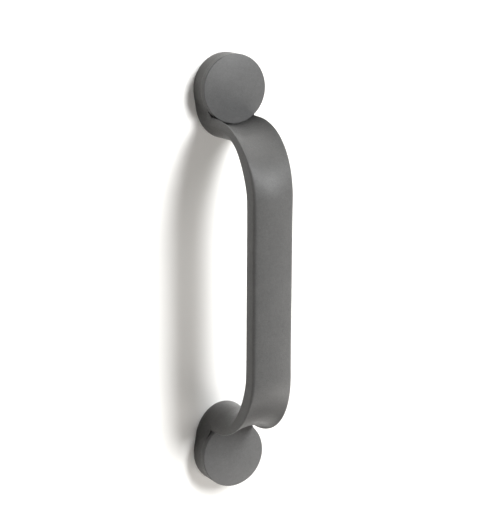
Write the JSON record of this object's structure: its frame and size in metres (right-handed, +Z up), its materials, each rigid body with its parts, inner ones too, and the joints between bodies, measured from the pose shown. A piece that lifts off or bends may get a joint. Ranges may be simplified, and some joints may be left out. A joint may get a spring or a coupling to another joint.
{
  "type": "wall grab handle",
  "caption": "Soft-covered, steel-cored grab handle bent into an arch between two round screw-on feet with pull-off cover caps, for holding on to at a wall.",
  "frame": {"origin": "centre of the lower foot on the wall", "axes": "+Z up along the grip, +Y into the wall, so the handle stands out towards -Y, +X to the right for a person facing the wall"},
  "size_m": [0.0618, 0.1374, 0.4],
  "materials": {
    "soft_cover": "satin-matt, fine grain, moulded",
    "cap_soft_grey": "satin-matt, fine grain, moulded",
    "spring_steel": "rolled, dull",
    "plate_steel": "stainless, brushed",
    "rivet_steel": "stainless, plain",
    "screw_steel": "stainless, plain",
    "washer_steel": "stainless, plain",
    "foam_seal": "closed-cell foam, matt"
  },
  "bodies": {
    "handle": {"handle_cover": "soft_cover", "core_band": "spring_steel", "lower_mounting_plate": "plate_steel", "upper_mounting_plate": "plate_steel", "lower_plate_rivets": "rivet_steel", "upper_plate_rivets": "rivet_steel", "lower_wall_screws": "screw_steel", "upper_wall_screws": "screw_steel", "lower_screw_washers": "washer_steel", "upper_screw_washers": "washer_steel", "lower_wall_seal": "foam_seal", "upper_wall_seal": "foam_seal"},
    "lower_cap": {"lower_cover_cap": "cap_soft_grey"},
    "upper_cap": {"upper_cover_cap": "cap_soft_grey"}
  },
  "joints": [
    {"name": "lower_cap_pull_off", "type": "slide", "parent": "handle", "child": "lower_cap", "axis": [0, -1, 0], "range_m": [0, 0.04]},
    {"name": "upper_cap_pull_off", "type": "slide", "parent": "handle", "child": "upper_cap", "axis": [0, -1, 0], "range_m": [0, 0.04]}
  ]
}
